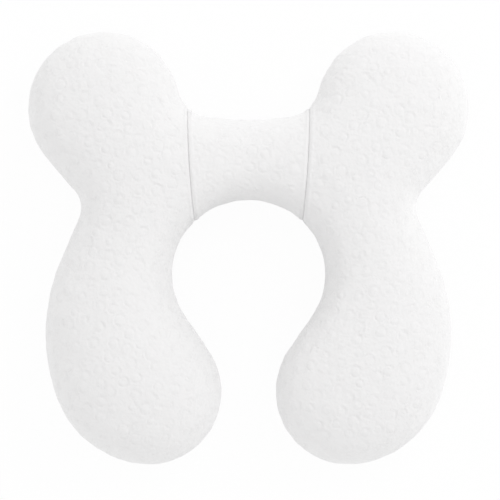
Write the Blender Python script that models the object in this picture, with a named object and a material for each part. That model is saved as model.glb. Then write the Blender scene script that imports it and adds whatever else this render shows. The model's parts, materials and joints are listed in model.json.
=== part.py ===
"""A baby's head support pillow: a stuffed, sewn cushion lying flat on its back.

The frame is in metres. +X runs across the pillow, +Y towards its two round upper lobes and +Z out of its
front. The pillow rests on Z = 0 and is the same left and right of X = 0.

The cover is six cloth panels, a front and a back one for each wing and for the bridge between them. They
meet at two short seams beside the bridge and at one seam round the whole outline, and a single body of
fibre fills them. The plan of the pillow is a chain of arcs. Each face swells over that plan as a blown up
sheet does, so it stands highest where the pillow is widest.
"""

import math
from typing import NamedTuple

import bpy
import numpy as np
from mathutils import Vector
from mathutils.geometry import delaunay_2d_cdt

# Overall size
WIDTH = 0.2806
HEIGHT = 0.2754
SEAM_HEIGHT = 0.024  # the seam round the outline, above the surface that the pillow lies on
FRONT_RISE = 0.036  # the front at its highest, above that seam

# Upper lobe, outer waist and outer side of the arm
UPPER_LOBE_RADIUS = 0.0483
UPPER_RUN = 0.0316  # the straight run from the waist to the upper lobe
WAIST_RADIUS = 0.012
SIDE_RUN = 0.0342  # the straight run from the arm's side to the waist
ARM_SIDE_RADIUS = 0.118
ARM_SIDE_ANGLE = -20.2  # where the side runs into the bottom curve, in degrees

# Lower lobe
LOWER_LOBE_X = 0.0637
LOWER_LOBE_RADIUS = 0.0463
BOTTOM_CURVE_RADIUS = 0.0648
BOTTOM_CURVE_ANGLE = -81.4

# Bridge, and the opening for the head and neck
BRIDGE_DEPTH = 0.0507  # from the opening to the bridge's top edge, in the middle
BRIDGE_TOP_RADIUS = 0.1556
FLARE_RADIUS = 0.0179
FLARE_RUN = 0.0098  # the straight run from the upper lobe to the flare
OPENING_TOP_RADIUS = 0.0505
OPENING_SIDE_RADIUS = 0.0462
OPENING_RUN = 0.0274  # the straight run from the opening's side to the lower lobe
SEAM_TOP_SHARE = 0.43  # the upper end of the seam, as a share of the way along the flare
SEAM_BOTTOM_ANGLE = 47.0  # its lower end, on the opening

# Swell of the two faces
LEVELLING = 0.063  # the larger it is, the more a wide stretch stands above a narrow one
RESTING_SHARE = 0.93  # the back is flat where it swells to this share of its most
LIP_HEIGHT = 0.003  # the cloth rolls out this high above and below the seam round the outline
LIP_INSET = 0.0008  # and that seam lies this far inside the roll
CREASE_SHARE = 0.11  # how much of its height a face loses in the seam beside the bridge
CREASE_WIDTH = 0.003

# Cloth and clearances
CLOTH_THICKNESS = 0.0016
SEAM_GAP = 0.0003
FILLING_GAP = 0.0004

# Facets
POINT_SPACING = 0.0085
INNER_SPACING = 0.0125
MOST_TURN = 24.0  # degrees of an arc between two points
EDGE_RADIUS = 0.045
EDGE_STEPS = (12.0, 24.0, 36.0, 48.0)  # rings inside the outline, in degrees round that curve
SEAM_ROWS = (0.0017, 0.0045, 0.009)  # rows of points beside each short seam

CLOTH_COLOUR = (0.86, 0.85, 0.85, 1.0)
FIBRE_COLOUR = (0.90, 0.90, 0.91, 1.0)

EDGE_DEPTHS = [EDGE_RADIUS * (1.0 - math.cos(math.radians(step))) for step in EDGE_STEPS]
LEFT, MIDDLE, RIGHT = -1, 0, 1


class Circle(NamedTuple):
    """A circle of the outline, followed counter-clockwise where turn is 1 and clockwise where it is -1."""

    centre: np.ndarray
    radius: float
    turn: int

    def point(self, degrees: float) -> np.ndarray:
        """Return the point of the circle in this direction from its centre."""
        return self.centre + self.radius * unit(degrees)

    def direction(self, point: np.ndarray) -> float:
        """Return the direction in degrees from the centre to a point."""
        x, y = point - self.centre
        return math.degrees(math.atan2(y, x))


class Outline(NamedTuple):
    """Points along a stretch of the outline, with the outward direction at each."""

    points: np.ndarray
    outward: np.ndarray


class Face(NamedTuple):
    """One side of the cover: its points, their outward normals, its triangles and what each belongs to."""

    points: np.ndarray
    normals: np.ndarray
    triangles: np.ndarray
    wings: np.ndarray
    hem: np.ndarray  # indices of the points on the seam round the outline
    seam_side: np.ndarray  # across the short seam at each of its points, away from the bridge, else zero


def unit(degrees: float) -> np.ndarray:
    """Return the unit vector in this direction."""
    return np.array([math.cos(math.radians(degrees)), math.sin(math.radians(degrees))])


def around(inner: Circle, radius: float, degrees: float) -> Circle:
    """Return a larger circle that the inner one touches from inside, in this direction from its centre."""
    return Circle(inner.centre - (radius - inner.radius) * unit(degrees), radius, inner.turn)


def tangent(first: Circle, second: Circle) -> tuple[np.ndarray, np.ndarray]:
    """Return both ends of the straight run from one circle to the next."""
    across = second.centre - first.centre
    lean = (second.turn * second.radius - first.turn * first.radius) / math.hypot(*across)
    along = math.degrees(math.atan2(across[1], across[0]) - math.asin(lean))
    aside = unit(along - 90.0)
    return (
        first.centre + first.turn * first.radius * aside,
        second.centre + second.turn * second.radius * aside,
    )


def apart(first_radius: float, second_radius: float, run: float) -> float:
    """Return how far apart the centres of two circles lie that a straight run joins as it crosses over."""
    return math.hypot(first_radius + second_radius, run)


def place_from(first: np.ndarray, reach: float, second: np.ndarray, second_reach: float) -> np.ndarray:
    """Return the place at these distances from two others, on the left of the way from first to second."""
    way = second - first
    length = math.hypot(*way)
    along = (length**2 + reach**2 - second_reach**2) / (2.0 * length)
    aside = math.sqrt(reach**2 - along**2)
    return first + (along * way + aside * np.array([-way[1], way[0]])) / length


def arc(circle: Circle, start: float, end: float) -> Outline:
    """Return points from one direction to another, the way the circle turns."""
    sweep = (end - start) * circle.turn % 360.0
    length = math.radians(sweep) * circle.radius
    steps = max(math.ceil(length / POINT_SPACING), math.ceil(sweep / MOST_TURN), 1)
    directions = [start + circle.turn * sweep * step / steps for step in range(steps + 1)]
    points = np.array([circle.point(direction) for direction in directions])
    return Outline(points, circle.turn * np.array([unit(direction) for direction in directions]))


def straight(start: np.ndarray, end: np.ndarray) -> Outline:
    """Return points along a straight run, without its two ends."""
    length = math.hypot(*(end - start))
    steps = max(round(length / POINT_SPACING), 1)
    along = (end - start) / length
    points = [start + (end - start) * step / steps for step in range(1, steps)]
    outward = [np.array([along[1], -along[0]])] * len(points)
    return Outline(np.array(points).reshape(-1, 2), np.array(outward).reshape(-1, 2))


def joined(*stretches: Outline) -> Outline:
    """Return stretches as one, with the point where two of them meet kept once."""
    points = np.concatenate([stretch.points for stretch in stretches])
    outward = np.concatenate([stretch.outward for stretch in stretches])
    fresh = np.ones(len(points), bool)
    fresh[1:] = np.hypot(*np.diff(points, axis=0).T) > 1e-6
    return Outline(points[fresh], outward[fresh])


def right_half() -> tuple[Outline, Outline, Outline]:
    """Return the outline of the right half: the bridge's lower edge, the wing, and the bridge's top edge.

    The two lobes stand where the overall size puts them. The opening and the bridge are built up from the
    lower lobe, and the waist and the flare lie where their straight runs reach their neighbours.
    """
    lobe_y = LOWER_LOBE_RADIUS - HEIGHT / 2.0
    lower_lobe = Circle(np.array([LOWER_LOBE_X, lobe_y]), LOWER_LOBE_RADIUS, 1)
    bottom_curve = around(lower_lobe, BOTTOM_CURVE_RADIUS, BOTTOM_CURVE_ANGLE)
    arm_side = around(bottom_curve, ARM_SIDE_RADIUS, ARM_SIDE_ANGLE)
    upper_centre = np.array([WIDTH, HEIGHT]) / 2.0 - UPPER_LOBE_RADIUS
    upper_lobe = Circle(upper_centre, UPPER_LOBE_RADIUS, 1)
    waist_centre = place_from(
        upper_centre, apart(UPPER_LOBE_RADIUS, WAIST_RADIUS, UPPER_RUN),
        arm_side.centre, apart(ARM_SIDE_RADIUS, WAIST_RADIUS, SIDE_RUN),
    )
    waist = Circle(waist_centre, WAIST_RADIUS, -1)

    side_offset = (OPENING_TOP_RADIUS - OPENING_SIDE_RADIUS) * unit(SEAM_BOTTOM_ANGLE)
    lobe_reach = apart(OPENING_SIDE_RADIUS, LOWER_LOBE_RADIUS, OPENING_RUN)
    opening_rise = math.sqrt(lobe_reach**2 - (LOWER_LOBE_X - side_offset[0]) ** 2)
    opening_y = lobe_y + opening_rise - side_offset[1]
    opening_top = Circle(np.array([0.0, opening_y]), OPENING_TOP_RADIUS, -1)
    opening_side = Circle(opening_top.centre + side_offset, OPENING_SIDE_RADIUS, -1)
    bridge_top_y = opening_y + OPENING_TOP_RADIUS + BRIDGE_DEPTH
    bridge_top = Circle(np.array([0.0, bridge_top_y + BRIDGE_TOP_RADIUS]), BRIDGE_TOP_RADIUS, -1)
    flare_centre = place_from(
        upper_centre, apart(UPPER_LOBE_RADIUS, FLARE_RADIUS, FLARE_RUN),
        bridge_top.centre, BRIDGE_TOP_RADIUS - FLARE_RADIUS,
    )
    flare = Circle(flare_centre, FLARE_RADIUS, -1)
    flare_end = bridge_top.direction(flare_centre)

    opening_end, lobe_start = tangent(opening_side, lower_lobe)
    side_end, waist_start = tangent(arm_side, waist)
    waist_end, upper_start = tangent(waist, upper_lobe)
    upper_end, flare_point = tangent(upper_lobe, flare)
    flare_start = flare.direction(flare_point)
    seam_top = flare_start + SEAM_TOP_SHARE * (flare_end - flare_start)

    bridge_bottom = arc(opening_top, 90.0, SEAM_BOTTOM_ANGLE)
    wing = joined(
        arc(opening_side, SEAM_BOTTOM_ANGLE, opening_side.direction(opening_end)),
        straight(opening_end, lobe_start),
        arc(lower_lobe, lower_lobe.direction(lobe_start), BOTTOM_CURVE_ANGLE),
        arc(bottom_curve, BOTTOM_CURVE_ANGLE, ARM_SIDE_ANGLE),
        arc(arm_side, ARM_SIDE_ANGLE, arm_side.direction(side_end)),
        straight(side_end, waist_start),
        arc(waist, waist.direction(waist_start), waist.direction(waist_end)),
        straight(waist_end, upper_start),
        arc(upper_lobe, upper_lobe.direction(upper_start), upper_lobe.direction(upper_end)),
        straight(upper_end, flare_point),
        arc(flare, flare_start, seam_top),
    )
    bridge_edge = joined(arc(flare, seam_top, flare_end), arc(bridge_top, flare_end, -90.0))
    return bridge_bottom, wing, bridge_edge


def across(start: np.ndarray, end: np.ndarray) -> np.ndarray:
    """Return points from one edge of the bridge to the other, closer together near the edges."""
    length = math.hypot(*(end - start))
    inner = length - 2.0 * EDGE_DEPTHS[-1]
    steps = max(round(inner / POINT_SPACING), 1)
    middle = [EDGE_DEPTHS[-1] + inner * step / steps for step in range(1, steps)]
    depths = [0.0, *EDGE_DEPTHS, *middle, *(length - depth for depth in reversed(EDGE_DEPTHS)), length]
    return np.array([start + (end - start) * depth / length for depth in depths])


def add_apart(chosen: list[np.ndarray], fresh: np.ndarray, gap: float) -> None:
    """Add each fresh point that lies at least this far from all that were chosen before."""
    for point in fresh:
        if point[0] > gap / 2.0 and np.hypot(*(np.array(chosen) - point).T).min() >= gap:
            chosen.append(point)


def inside(points: np.ndarray, loop: np.ndarray) -> np.ndarray:
    """Return which points lie inside a closed loop, by counting the sides that a ray crosses."""
    start, end = loop, np.roll(loop, -1, axis=0)
    found = []
    for x, y in points:
        spans = (start[:, 1] > y) != (end[:, 1] > y)
        rise = np.where(spans, end[:, 1] - start[:, 1], 1.0)
        crossing = start[:, 0] + (y - start[:, 1]) / rise * (end[:, 0] - start[:, 0])
        found.append(np.count_nonzero(spans & (crossing > x)) % 2 == 1)
    return np.array(found)


def right_half_plan() -> tuple[np.ndarray, np.ndarray, Outline, np.ndarray]:
    """Return the plan for X >= 0: its points and triangles, its outline from the bridge's lower middle
    round to its upper middle, and the points of its short seam from bottom to top."""
    bridge_bottom, wing, bridge_edge = right_half()
    outline = joined(bridge_bottom, wing, bridge_edge)
    seam = across(wing.points[0], wing.points[-1])
    centre_line = across(bridge_edge.points[-1], bridge_bottom.points[0])
    loop = np.concatenate([outline.points, centre_line[1:-1]])

    chosen = [*loop, *seam[1:-1]]
    sideways = np.array([1.0, -1.0]) * (seam[-1] - seam[0])[::-1] / math.hypot(*(seam[-1] - seam[0]))
    for row in SEAM_ROWS:
        for side in (row, -row):
            beside = seam[1:-1] + side * sideways
            add_apart(chosen, beside[inside(beside, loop)], 0.8 * SEAM_ROWS[0])
    for depth in EDGE_DEPTHS:
        ring = outline.points - depth * outline.outward
        add_apart(chosen, ring[inside(ring, loop)], min(0.9 * depth, 0.55 * POINT_SPACING))
    row_height = INNER_SPACING * math.sqrt(0.75)
    grid = [
        (INNER_SPACING * (column + 0.5 * (row % 2)), row * row_height)
        for row in range(math.floor(-HEIGHT / 2.0 / row_height), math.ceil(HEIGHT / 2.0 / row_height))
        for column in range(math.ceil(WIDTH / 2.0 / INNER_SPACING))
    ]
    grid = np.array(grid)
    grid = grid[inside(grid, loop)]
    clear = [np.hypot(*(outline.points - point).T).min() > 1.4 * EDGE_DEPTHS[-1] for point in grid]
    add_apart(chosen, grid[clear], 0.62 * INNER_SPACING)

    ends = list(range(len(loop)))
    seam_ends = [
        len(bridge_bottom.points) - 1,
        *range(len(loop), len(loop) + len(seam) - 2),
        len(bridge_bottom.points) + len(wing.points) - 2,
    ]
    sides = list(zip(ends, ends[1:] + ends[:1])) + list(zip(seam_ends, seam_ends[1:]))
    found = delaunay_2d_cdt([Vector(point) for point in chosen], sides, [], 1, 1e-7)
    used, fresh = np.unique(np.array([tuple(face) for face in found[2]]), return_inverse=True)
    points = np.array([tuple(point) for point in found[0]])[used]
    return points, fresh.reshape(-1, 3), outline, seam


def swell_over(points: np.ndarray, triangles: np.ndarray, edge: np.ndarray) -> np.ndarray:
    """Return the height at each point of a sheet held at the edge and blown up evenly.

    It is the Poisson equation on the plan, where a disc of radius R reaches R squared at its middle.
    """
    corners = points[triangles]
    sides = np.roll(corners, -1, axis=1) - np.roll(corners, 1, axis=1)
    areas = 0.5 * np.abs(sides[:, 0, 0] * sides[:, 1, 1] - sides[:, 0, 1] * sides[:, 1, 0])
    stiffness = np.zeros((len(points), len(points)))
    load = np.zeros(len(points))
    for first in range(3):
        np.add.at(load, triangles[:, first], 4.0 * areas / 3.0)
        for second in range(3):
            weight = (sides[:, first] * sides[:, second]).sum(axis=1) / (4.0 * areas)
            np.add.at(stiffness, (triangles[:, first], triangles[:, second]), weight)
    heights = np.zeros(len(points))
    free = np.flatnonzero(~edge)
    heights[free] = np.linalg.solve(stiffness[np.ix_(free, free)], load[free])
    return heights


def nearest(points: np.ndarray, wanted: np.ndarray) -> np.ndarray:
    """Return the index of the point nearest to each wanted one."""
    return np.array([np.hypot(*(points - place).T).argmin() for place in wanted])


def seam_distance(points: np.ndarray, seam: np.ndarray) -> np.ndarray:
    """Return how far each point lies from the short seam, negative on the bridge's side of it.

    The bridge is narrowest in its middle, so all of it lies between the levels of the seam's two ends.
    """
    run = seam[-1] - seam[0]
    share = np.clip((points - seam[0]) @ run / (run @ run), 0.0, 1.0)
    offset = points - seam[0] - share[:, None] * run
    beyond = (points[:, 1] < seam[0, 1]) | (points[:, 1] > seam[-1, 1])
    beside = offset @ np.array([run[1], -run[0]]) > 0.0
    return np.hypot(*offset.T) * np.where(beyond | beside, 1.0, -1.0)


def whole_plan() -> dict[str, np.ndarray]:
    """Return the plan of the whole pillow, with the swell, the crease and the edge of each point."""
    points, triangles, outline, seam = right_half_plan()
    rim = nearest(points, outline.points)
    edge = np.zeros(len(points), bool)
    edge[rim] = True
    swell = swell_over(points, triangles, edge)
    distance = seam_distance(points, seam)
    turned = np.cross(points[triangles[:, 1]] - points[triangles[:, 0]],
                      points[triangles[:, 2]] - points[triangles[:, 0]]) < 0.0
    triangles[turned] = triangles[turned][:, ::-1]
    wing = (distance[triangles].mean(axis=1) > 0.0).astype(int)

    on_axis = points[:, 0] < 1e-7
    points[on_axis, 0] = 0.0
    mirrored = np.where(on_axis, np.arange(len(points)), 0)
    mirrored[~on_axis] = len(points) + np.arange(np.count_nonzero(~on_axis))
    left_rim = [index for index in rim[::-1] if not on_axis[index]]
    seam_points = nearest(points, seam)
    flat = np.array([-1.0, 1.0])
    outward = np.zeros_like(points)
    outward[rim] = outline.outward
    seam_side = np.zeros_like(points)
    across_seam = (seam[-1] - seam[0])[::-1] * np.array([1.0, -1.0])
    seam_side[seam_points] = across_seam / math.hypot(*across_seam)

    def both(values: np.ndarray, factor: np.ndarray | float = 1.0) -> np.ndarray:
        """Return values for the whole plan from those of the right half."""
        return np.concatenate([values, values[~on_axis] * factor])

    return {
        "points": both(points, flat),
        "triangles": np.concatenate([triangles, mirrored[triangles][:, ::-1]]),
        "wings": np.concatenate([wing, -wing]),
        "rim": np.array([*rim, *(mirrored[index] for index in left_rim)]),
        "outward": both(outward, flat),
        "swell": both(swell),
        "distance": both(np.abs(distance)),
        "seam_side": both(seam_side, flat),
    }


def vertex_normals(points: np.ndarray, triangles: np.ndarray) -> np.ndarray:
    """Return the mean normal of the triangles round each point, weighted by their area."""
    corners = points[triangles]
    crossed = np.cross(corners[:, 1] - corners[:, 0], corners[:, 2] - corners[:, 0])
    normals = np.zeros_like(points)
    for corner in range(3):
        np.add.at(normals, triangles[:, corner], crossed)
    return normals / np.linalg.norm(normals, axis=1)[:, None]


def cover_face(plan: dict[str, np.ndarray], front: bool) -> Face:
    """Return the outer surface of the front or the back of the cover."""
    fullness = np.sqrt(plan["swell"] / (plan["swell"] + LEVELLING**2))
    crease = 1.0 - CREASE_SHARE * np.exp(-plan["distance"] / CREASE_WIDTH)
    share = fullness / fullness.max() * crease
    if front:
        heights = SEAM_HEIGHT + LIP_HEIGHT + (FRONT_RISE - LIP_HEIGHT) * share
    else:
        pressed = np.minimum(share / RESTING_SHARE, 1.0)
        pressed += pressed**4 - pressed**5  # meets the flat rest at no angle
        heights = (SEAM_HEIGHT - LIP_HEIGHT) * (1.0 - pressed)
    rim = plan["rim"]
    outward = plan["outward"][rim]
    hem_plan = plan["points"][rim] - LIP_INSET * outward
    hem = len(heights) + np.arange(len(rim))
    points = np.concatenate([
        np.column_stack([plan["points"], heights]),
        np.column_stack([hem_plan, np.full(len(rim), SEAM_HEIGHT)]),
    ])
    after, hem_after = np.roll(rim, -1), np.roll(hem, -1)
    roll = np.concatenate([
        np.column_stack([hem, hem_after, after]),
        np.column_stack([hem, after, rim]),
    ])
    triangles = np.concatenate([plan["triangles"], roll])
    owner = {frozenset(side): wing for triangle, wing in zip(plan["triangles"].tolist(), plan["wings"])
             for side in zip(triangle, triangle[1:] + triangle[:1])}
    roll_wings = [owner[frozenset((int(a), int(b)))] for a, b in zip(rim, after)]
    wings = np.concatenate([plan["wings"], roll_wings, roll_wings])
    if not front:
        triangles = triangles[:, ::-1]

    normals = vertex_normals(points, triangles)
    normals[hem] = np.column_stack([outward, np.zeros(len(rim))])
    seam_side = np.zeros_like(points)
    seam_side[: len(heights), :2] = plan["seam_side"]
    seam_side[hem, :2] = plan["seam_side"][rim]
    normals -= (normals * seam_side).sum(axis=1)[:, None] * seam_side
    normals /= np.linalg.norm(normals, axis=1)[:, None]
    return Face(points, normals, triangles, wings, hem, seam_side)


def rim_edges(triangles: np.ndarray) -> np.ndarray:
    """Return the directed sides that only one triangle has."""
    sides = np.concatenate([triangles[:, [0, 1]], triangles[:, [1, 2]], triangles[:, [2, 0]]])
    _, index, count = np.unique(np.sort(sides, axis=1), axis=0, return_inverse=True, return_counts=True)
    return sides[count[index.reshape(-1)] == 1]


def panel_shape(face: Face, wing: int, front: bool) -> tuple[np.ndarray, np.ndarray]:
    """Return the points and triangles of one cloth panel, cut along its seams with half a gap at each."""
    triangles = face.triangles[face.wings == wing]
    away = -1.0 if wing == MIDDLE else 1.0
    outer = face.points + away * 0.5 * SEAM_GAP * face.seam_side
    outer[face.hem, 2] += (0.5 if front else -0.5) * SEAM_GAP
    inner = outer - CLOTH_THICKNESS * face.normals
    edges = rim_edges(triangles)
    count = len(outer)
    walls = np.concatenate([
        np.column_stack([edges[:, 1], edges[:, 0], edges[:, 0] + count]),
        np.column_stack([edges[:, 1], edges[:, 0] + count, edges[:, 1] + count]),
    ])
    whole = np.concatenate([triangles, triangles[:, ::-1] + count, walls])
    used, index = np.unique(whole, return_inverse=True)
    return np.concatenate([outer, inner])[used], index.reshape(-1, 3)


def filling_shape(front: Face, back: Face) -> tuple[np.ndarray, np.ndarray]:
    """Return the points and triangles of the fibre, a gap inside the cloth all round."""
    depth = CLOTH_THICKNESS + FILLING_GAP
    upper = front.points - depth * front.normals
    lower = back.points - depth * back.normals
    index = len(upper) + np.arange(len(lower))
    index[back.hem] = front.hem
    whole = np.concatenate([front.triangles, index[back.triangles]])
    used, fresh = np.unique(whole, return_inverse=True)
    return np.concatenate([upper, lower])[used], fresh.reshape(-1, 3)


def soft_material(
    name: str, colour: tuple[float, float, float, float], roughness: float
) -> bpy.types.Material:
    """Return a matt, non-metallic material."""
    material = bpy.data.materials.new(name)
    material.use_nodes = True
    shader = material.node_tree.nodes["Principled BSDF"]
    shader.inputs["Base Color"].default_value = colour
    shader.inputs["Roughness"].default_value = roughness
    shader.inputs["Metallic"].default_value = 0.0
    return material


def add_object(name: str, shape: tuple[np.ndarray, np.ndarray], material: bpy.types.Material) -> None:
    """Add one closed solid, shaded smooth apart from its cut edges."""
    points, triangles = shape
    mesh = bpy.data.meshes.new(name)
    mesh.from_pydata(points.tolist(), [], triangles.tolist())
    mesh.validate()
    mesh.materials.append(material)
    mesh.shade_smooth()
    mesh.set_sharp_from_angle(angle=math.radians(50.0))
    bpy.context.scene.collection.objects.link(bpy.data.objects.new(name, mesh))


def clear_scene() -> None:
    """Remove every object of the scene."""
    for item in list(bpy.data.objects):
        bpy.data.objects.remove(item, do_unlink=True)


def main() -> None:
    """Build the six cloth panels and the filling."""
    clear_scene()
    plan = whole_plan()
    front = cover_face(plan, front=True)
    back = cover_face(plan, front=False)
    names = {LEFT: "left_wing", MIDDLE: "bridge", RIGHT: "right_wing"}
    for wing, name in names.items():
        front_cloth = soft_material(f"{name}_front_knit", CLOTH_COLOUR, 0.92)
        add_object(f"{name}_front_panel", panel_shape(front, wing, front=True), front_cloth)
        back_cloth = soft_material(f"{name}_back_knit", CLOTH_COLOUR, 0.95)
        add_object(f"{name}_back_panel", panel_shape(back, wing, front=False), back_cloth)
    add_object("fibre_filling", filling_shape(front, back), soft_material("fibre", FIBRE_COLOUR, 1.0))


if __name__ == "__main__":
    main()
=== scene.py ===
"""Looks of a baby's head support pillow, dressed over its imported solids.

The pillow lies on its back and is seen from straight above. Its cover is a white knit, stuffed tightly, with
a faint pressed pattern of rings on the front and none on the back. The padded pieces are the two wings and
the bridge between them. They are cut from one body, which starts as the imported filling, swells under
pressure inside the cloth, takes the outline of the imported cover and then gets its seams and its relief.

Everything is in metres. +X runs across the pillow, +Y towards its upper lobes and +Z out of its front.
"""

import json
import logging
import math
from dataclasses import dataclass, field
from enum import Enum
from typing import NamedTuple

import bpy
import numpy as np
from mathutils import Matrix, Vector
from mathutils.kdtree import KDTree

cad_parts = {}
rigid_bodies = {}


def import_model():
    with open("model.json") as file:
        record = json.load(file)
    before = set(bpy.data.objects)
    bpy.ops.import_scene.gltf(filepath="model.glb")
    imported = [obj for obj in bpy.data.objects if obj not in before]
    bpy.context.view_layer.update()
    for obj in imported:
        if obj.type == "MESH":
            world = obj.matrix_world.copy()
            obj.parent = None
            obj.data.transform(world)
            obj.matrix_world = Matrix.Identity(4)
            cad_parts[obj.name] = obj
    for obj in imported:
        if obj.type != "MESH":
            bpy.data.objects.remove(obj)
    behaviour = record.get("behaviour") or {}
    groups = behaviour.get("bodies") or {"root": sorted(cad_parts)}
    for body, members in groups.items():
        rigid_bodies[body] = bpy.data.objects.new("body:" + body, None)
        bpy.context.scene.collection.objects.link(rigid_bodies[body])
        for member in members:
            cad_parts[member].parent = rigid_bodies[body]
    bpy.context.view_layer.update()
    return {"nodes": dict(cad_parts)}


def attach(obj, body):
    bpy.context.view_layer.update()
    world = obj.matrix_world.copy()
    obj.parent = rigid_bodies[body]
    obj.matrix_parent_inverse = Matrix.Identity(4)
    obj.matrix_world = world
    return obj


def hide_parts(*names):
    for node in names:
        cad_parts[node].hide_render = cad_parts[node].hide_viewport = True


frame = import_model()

MM = 0.001
TINY = 1e-9  # stands in for a length of nothing where it divides something
LOG = logging.getLogger("pillow")


class Part(Enum):
    """The padded pieces, named as their packed panels are."""

    LEFT_WING = "left_wing"
    BRIDGE = "bridge"
    RIGHT_WING = "right_wing"


class Face(Enum):
    """The two sides of the cover, each with the index of its material on a padded piece."""

    FRONT = 0
    BACK = 1


# Mesh helpers


def activate(item: bpy.types.Object) -> None:
    """Select one object alone and make it the active one.

    Args:
        item: the object.
    """
    bpy.ops.object.select_all(action="DESELECT")
    item.select_set(True)
    bpy.context.view_layer.objects.active = item


def read_points(mesh: bpy.types.Mesh) -> np.ndarray:
    """Read the places of a mesh's vertices.

    Args:
        mesh: the mesh to read.

    Returns:
        One row of X, Y and Z for each vertex.
    """
    points = np.empty(len(mesh.vertices) * 3)
    mesh.vertices.foreach_get("co", points)
    return points.reshape(-1, 3)


def write_points(mesh: bpy.types.Mesh, points: np.ndarray) -> None:
    """Move a mesh's vertices to these places."""
    mesh.vertices.foreach_set("co", points.ravel())
    mesh.update()


def read_normals(mesh: bpy.types.Mesh) -> np.ndarray:
    """Read the normals of a mesh's vertices.

    Args:
        mesh: the mesh to read.

    Returns:
        One row for each vertex.
    """
    normals = np.empty(len(mesh.vertices) * 3)
    mesh.vertex_normals.foreach_get("vector", normals)
    return normals.reshape(-1, 3)


def read_faces(mesh: bpy.types.Mesh, vector: str = "center") -> np.ndarray:
    """Read the middle or the normal of each of a mesh's faces.

    Args:
        mesh: the mesh to read.
        vector: which one, center or normal.

    Returns:
        One row for each face.
    """
    values = np.empty(len(mesh.polygons) * 3)
    mesh.polygons.foreach_get(vector, values)
    return values.reshape(-1, 3)


def select_faces(item: bpy.types.Object, chosen: np.ndarray) -> None:
    """Select these faces, with their sides and corners, and nothing else of an object's mesh.

    Args:
        item: the object whose faces are selected.
        chosen: true for each face to select.
    """
    mesh = item.data
    totals = np.empty(len(mesh.polygons), int)
    mesh.polygons.foreach_get("loop_total", totals)
    corner_chosen = np.repeat(chosen, totals)
    for name, elements in (("vertex_index", mesh.vertices), ("edge_index", mesh.edges)):
        index = np.empty(len(mesh.loops), int)
        mesh.loops.foreach_get(name, index)
        selected = np.zeros(len(elements), bool)
        selected[index[corner_chosen]] = True
        elements.foreach_set("select", selected)
    mesh.polygons.foreach_set("select", chosen)


def edit(item: bpy.types.Object, chosen: np.ndarray | None = None) -> None:
    """Enter edit mode in face selection.

    Args:
        item: the object to edit.
        chosen: true for each face to select, or None to select them all.
    """
    activate(item)
    if chosen is not None:
        select_faces(item, chosen)
    bpy.context.tool_settings.mesh_select_mode = (False, False, True)
    bpy.ops.object.mode_set(mode="EDIT")
    if chosen is None:
        bpy.ops.mesh.select_all(action="SELECT")


def leave_edit() -> None:
    """Go back to object mode."""
    bpy.ops.object.mode_set(mode="OBJECT")


def cut_faces(
    item: bpy.types.Object, chosen: np.ndarray, place: np.ndarray, facing: np.ndarray, snap: float
) -> None:
    """Cut edges into the chosen faces where an upright plane passes through them.

    Args:
        item: the object to cut.
        chosen: true for each face that the plane may cut.
        place: a place on the plane, in X and Y.
        facing: the plane's level normal.
        snap: how near to the plane a point is taken as on it, and not cut off from it.
    """
    edit(item, chosen)
    bpy.ops.mesh.bisect(plane_co=(*place, 0.0), plane_no=(*facing, 0.0), threshold=snap)
    leave_edit()


def apply_modifier(item: bpy.types.Object, kind: str, **settings: object) -> None:
    """Add a modifier with these settings and apply it at once.

    Args:
        item: the object to change.
        kind: the modifier's type, such as SUBSURF.
        settings: values of the modifier's own properties.
    """
    activate(item)
    modifier = item.modifiers.new(kind.title(), kind)
    for name, value in settings.items():
        setattr(modifier, name, value)
    bpy.ops.object.modifier_apply(modifier=modifier.name)


def smooth_step(share: np.ndarray) -> np.ndarray:
    """Return a share eased at both ends, and held between 0 and 1."""
    held = np.clip(share, 0.0, 1.0)
    return held * held * (3.0 - 2.0 * held)


def bump(distance: np.ndarray, width: float) -> np.ndarray:
    """Return a round bump, 1 where the distance is nothing, that fades over this width."""
    return np.exp(-((distance / width) ** 2))


@dataclass(frozen=True)
class Ripple:
    """Soft unevenness, as a sum of waves in seeded directions."""

    wavelength: float  # the mean distance from crest to crest
    seed: int
    waves: int
    spread: tuple[float, float] = (0.7, 1.4)  # the shortest and longest wave, as shares of the mean one

    def heights(self, points: np.ndarray) -> np.ndarray:
        """Work out the unevenness.

        Args:
            points: where it is wanted.

        Returns:
            One value for each point, mostly from -1 to 1.
        """
        random = np.random.default_rng(self.seed)
        directions = random.normal(size=(self.waves, 3))
        directions /= np.linalg.norm(directions, axis=1)[:, None]
        rates = 2.0 * math.pi / (self.wavelength * random.uniform(*self.spread, self.waves))
        phases = random.uniform(0.0, 2.0 * math.pi, self.waves)
        return np.sin(points @ (directions * rates[:, None]).T + phases).sum(axis=1) / math.sqrt(self.waves)


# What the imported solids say


class OutlineSample(NamedTuple):
    """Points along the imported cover's outline in plan, with the outward direction at each."""

    points: np.ndarray
    outward: np.ndarray


@dataclass(frozen=True)
class ShortSeam:
    """One of the two seams beside the bridge, as a line in plan from the opening to the upper edge."""

    side: int  # -1 on the left and 1 on the right
    bottom: np.ndarray
    top: np.ndarray
    lowest: float  # below this in Y, the seam's line crosses a lobe where there is no seam

    @property
    def run(self) -> np.ndarray:
        """Return the way from the seam's bottom to its top."""
        return self.top - self.bottom

    @property
    def across(self) -> np.ndarray:
        """Return the level direction across the seam, away from the bridge."""
        return self.side * np.array([self.run[1], -self.run[0]]) * np.sign(self.run[1]) / np.hypot(*self.run)

    def distance(self, points: np.ndarray) -> np.ndarray:
        """Return how far points lie from the seam's line, negative on the bridge's side."""
        return (points[:, :2] - self.bottom) @ self.across

    def beside(self, points: np.ndarray) -> np.ndarray:
        """Return which points are on this seam's half of the pillow and above its lowest place."""
        return (points[:, 1] > self.lowest) & (points[:, 0] * self.side > 0.0)


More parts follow.
